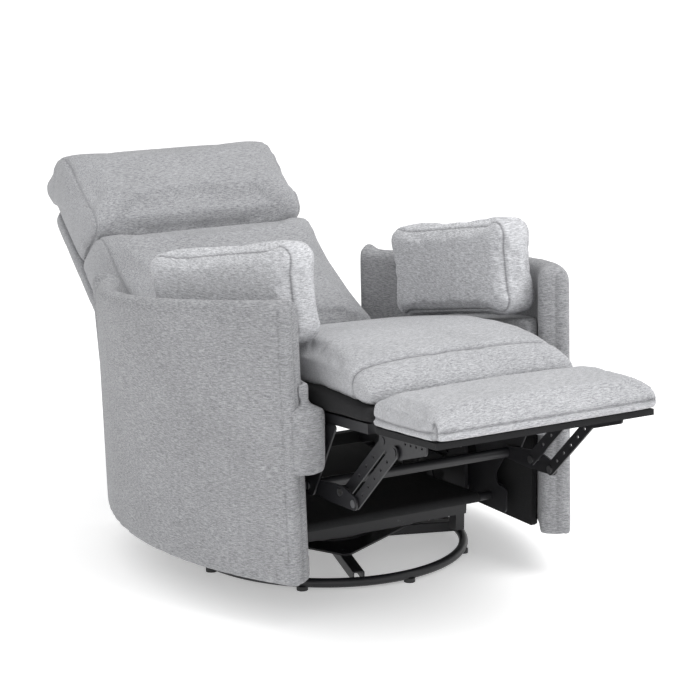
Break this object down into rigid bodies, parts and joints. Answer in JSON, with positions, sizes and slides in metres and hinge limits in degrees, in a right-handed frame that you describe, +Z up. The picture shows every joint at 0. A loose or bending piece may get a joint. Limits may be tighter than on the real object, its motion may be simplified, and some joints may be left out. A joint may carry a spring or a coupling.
{
  "type": "swivel glider recliner",
  "caption": "Grey fabric swivel glider recliner with barrel arms, loose arm pillows, folding leg rest, reclining back and a black steel ring base.",
  "frame": {"origin": "on the floor, on the swivel axis, at the centre of the ring base", "axes": "+Z up; the chair faces -Y, the leg rest reaches towards -Y; +X is the sitter's left; posed as in the picture, leg rest out and back laid down"},
  "size_m": [0.9544, 1.6829, 0.8],
  "materials": {
    "black_steel": "satin",
    "zinc_steel": "satin",
    "grey_chenille": "matte",
    "black_lining": "matte",
    "webbing": "matte",
    "plywood": "matte",
    "black_nylon": "matte"
  },
  "bodies": {
    "base": {"base_ring": "black_steel", "base_spokes": "black_steel", "base_plate": "black_steel", "base_hub": "black_steel", "swivel_washer": "black_nylon", "floor_glides": "black_nylon"},
    "turret": {"swivel_plate": "black_steel", "pivot_bolt": "zinc_steel", "front_cross_channel": "black_steel", "rear_cross_channel": "black_steel", "glide_tower_left": "black_steel", "glide_tower_right": "black_steel", "tip_stop_legs": "black_steel", "glide_top_pins": "zinc_steel"},
    "front_glide_links": {"front_glide_link_left": "black_steel", "front_glide_link_right": "black_steel"},
    "rear_glide_links": {"rear_glide_link_left": "black_steel", "rear_glide_link_right": "black_steel"},
    "chassis": {"chassis_side_plate_left": "black_steel", "chassis_side_plate_right": "black_steel", "chassis_cross_tubes": "black_steel", "seat_tracks": "black_steel", "arm_brackets": "black_steel", "chassis_pins": "zinc_steel", "arm_shell_left": "grey_chenille", "arm_shell_right": "grey_chenille", "arm_lining_left": "black_lining", "arm_lining_right": "black_lining", "arm_bottoms": "plywood", "side_deck_left": "grey_chenille", "side_deck_right": "grey_chenille", "arm_pillow_left": "grey_chenille", "arm_pillow_right": "grey_chenille", "rear_rail": "plywood"},
    "seat": {"seat_side_plate_left": "black_steel", "seat_side_plate_right": "black_steel", "seat_frame": "black_steel", "seat_webbing": "webbing", "slide_runners": "black_nylon", "seat_pins": "zinc_steel", "seat_cushion": "grey_chenille"},
    "lower_links": {"lower_link_left": "black_steel", "lower_link_right": "black_steel", "torsion_tube": "black_steel", "lower_link_pins": "zinc_steel"},
    "front_leg_links": {"front_leg_link_left": "black_steel", "front_leg_link_right": "black_steel"},
    "rear_leg_links": {"rear_leg_link_left": "black_steel", "rear_leg_link_right": "black_steel"},
    "footrest": {"footrest_bracket_left": "black_steel", "footrest_bracket_right": "black_steel", "footrest_board": "plywood", "footrest_cushion": "grey_chenille"},
    "back": {"back_panel": "black_lining", "back_frame": "plywood", "back_bracket_left": "black_steel", "back_bracket_right": "black_steel", "lumbar_cushion": "grey_chenille", "headrest_cushion": "grey_chenille"}
  },
  "joints": [
    {"name": "swivel", "type": "hinge", "parent": "base", "child": "turret", "pos_m": [0, 0, 0], "axis": [0, 0, 1], "continuous": true},
    {"name": "glide", "type": "hinge", "parent": "turret", "child": "front_glide_links", "pos_m": [0, -0.15, 0.232], "axis": [1, 0, 0], "range_deg": [-24, 24]},
    {"name": "glide_carry", "type": "hinge", "parent": "front_glide_links", "child": "chassis", "pos_m": [0, -0.15, 0.132], "axis": [1, 0, 0], "range_deg": [-24, 24]},
    {"name": "glide_rear", "type": "hinge", "parent": "turret", "child": "rear_glide_links", "pos_m": [0, 0.15, 0.232], "axis": [1, 0, 0], "range_deg": [-24, 24]},
    {"name": "back_recline", "type": "hinge", "parent": "chassis", "child": "back", "pos_m": [0, 0.02, 0.33], "axis": [1, 0, 0], "range_deg": [0, 34]},
    {"name": "seat_slide", "type": "slide", "parent": "chassis", "child": "seat", "axis": [0, 1, 0], "range_m": [0, 0.0702]},
    {"name": "legrest_fold", "type": "hinge", "parent": "seat", "child": "lower_links", "pos_m": [0, -0.345, 0.262], "axis": [1, 0, 0], "range_deg": [0, 85.86]},
    {"name": "front_leg_link", "type": "hinge", "parent": "lower_links", "child": "front_leg_links", "pos_m": [0, -0.506, 0.264], "axis": [1, 0, 0], "range_deg": [-102, 0]},
    {"name": "rear_leg_link", "type": "hinge", "parent": "lower_links", "child": "rear_leg_links", "pos_m": [0, -0.4557, 0.275], "axis": [1, 0, 0], "range_deg": [-102.1, 0]},
    {"name": "footrest_tilt", "type": "hinge", "parent": "front_leg_links", "child": "footrest", "pos_m": [0, -0.643, 0.399], "axis": [1, 0, 0], "range_deg": [0, 104]}
  ],
  "couplings": [
    {"joint": "glide_carry", "follows": "glide", "ratio": -1},
    {"joint": "glide_rear", "follows": "glide", "ratio": 1},
    {"joint": "seat_slide", "follows": "back_recline", "m_per_rad": 0.11796},
    {"joint": "front_leg_link", "follows": "legrest_fold", "ratio": -1.1865},
    {"joint": "rear_leg_link", "follows": "legrest_fold", "ratio": -1.188},
    {"joint": "footrest_tilt", "follows": "legrest_fold", "ratio": 1.2107}
  ]
}
